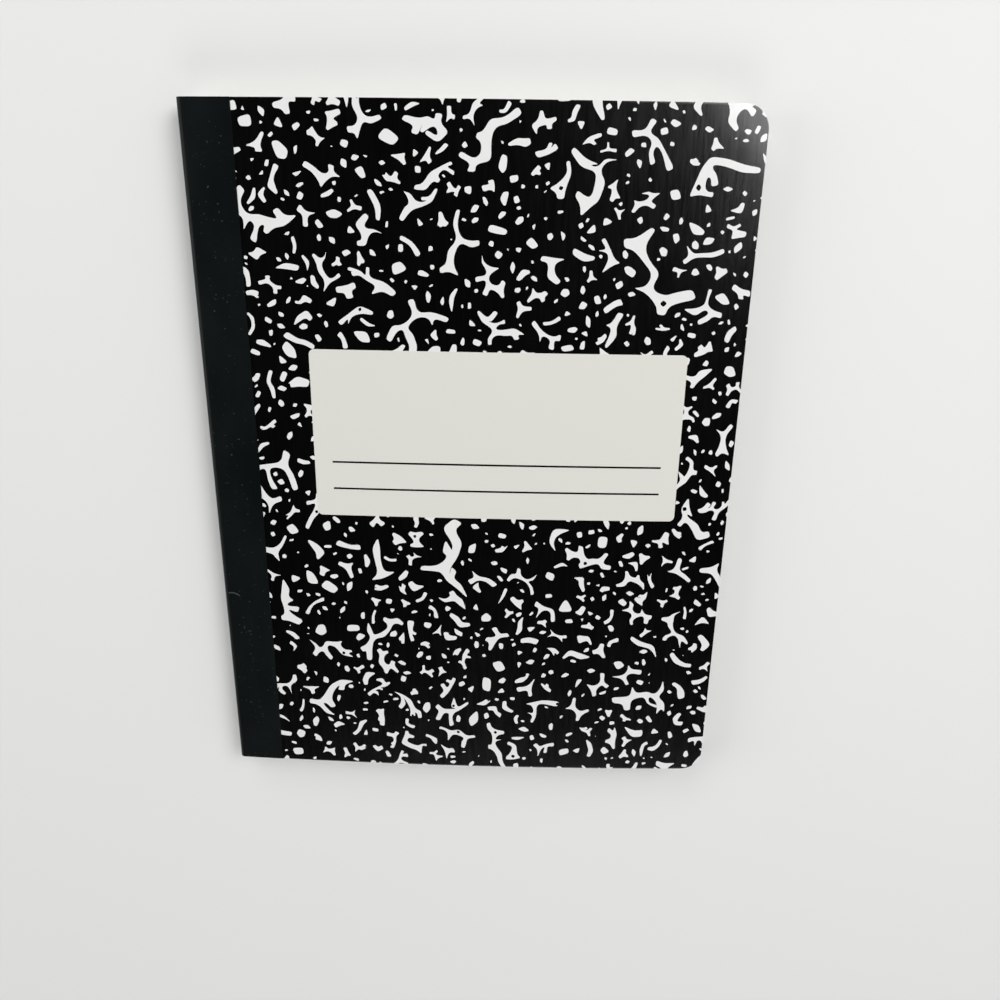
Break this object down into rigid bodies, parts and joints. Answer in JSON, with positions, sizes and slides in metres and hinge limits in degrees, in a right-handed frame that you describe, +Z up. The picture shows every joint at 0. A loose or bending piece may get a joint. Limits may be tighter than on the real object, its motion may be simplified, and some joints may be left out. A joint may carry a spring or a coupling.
{
  "type": "composition notebook",
  "caption": "Sewn composition notebook with black and white marbled board covers, a cloth-tape spine, a blank name label and rounded fore-edge corners; both covers open.",
  "frame": {"origin": "middle of the notebook's footprint, at the level it rests on", "axes": "+X from the spine to the fore-edge, +Y from the tail to the head (the long side), +Z up through the thickness, out of the front cover"},
  "size_m": [0.1906, 0.2476, 0.0137],
  "materials": {
    "page_paper": "trimmed edges of white writing paper",
    "endpaper": "smooth white lining paper",
    "black_print": "varnished black print on cover board, satin",
    "white_print": "unprinted white of the varnished cover, satin",
    "label_white": "warm white printed label, satin",
    "rule_ink": "black printed line",
    "binding_tape": "matte black coated book-binding tape, finely grained",
    "sewing_thread": "white cotton sewing thread"
  },
  "bodies": {
    "page_block": {"page_block": "page_paper", "binding_thread": "sewing_thread", "spine_tape": "binding_tape"},
    "front_cover": {"front_cover": "black_print", "front_endpaper": "endpaper", "front_tape_flap": "binding_tape", "front_flecks": "white_print", "front_label": "label_white", "label_rules": "rule_ink"},
    "back_cover": {"back_cover": "black_print", "back_endpaper": "endpaper", "back_tape_flap": "binding_tape", "back_flecks": "white_print"}
  },
  "joints": [
    {"name": "front_cover_hinge", "type": "hinge", "parent": "page_block", "child": "front_cover", "pos_m": [-0.09464, 0, 0.01074], "axis": [0, -1, 0], "range_deg": [0, 179]},
    {"name": "back_cover_hinge", "type": "hinge", "parent": "page_block", "child": "back_cover", "pos_m": [-0.09464, 0, 0.00061], "axis": [0, 1, 0], "range_deg": [0, 179.9]}
  ]
}
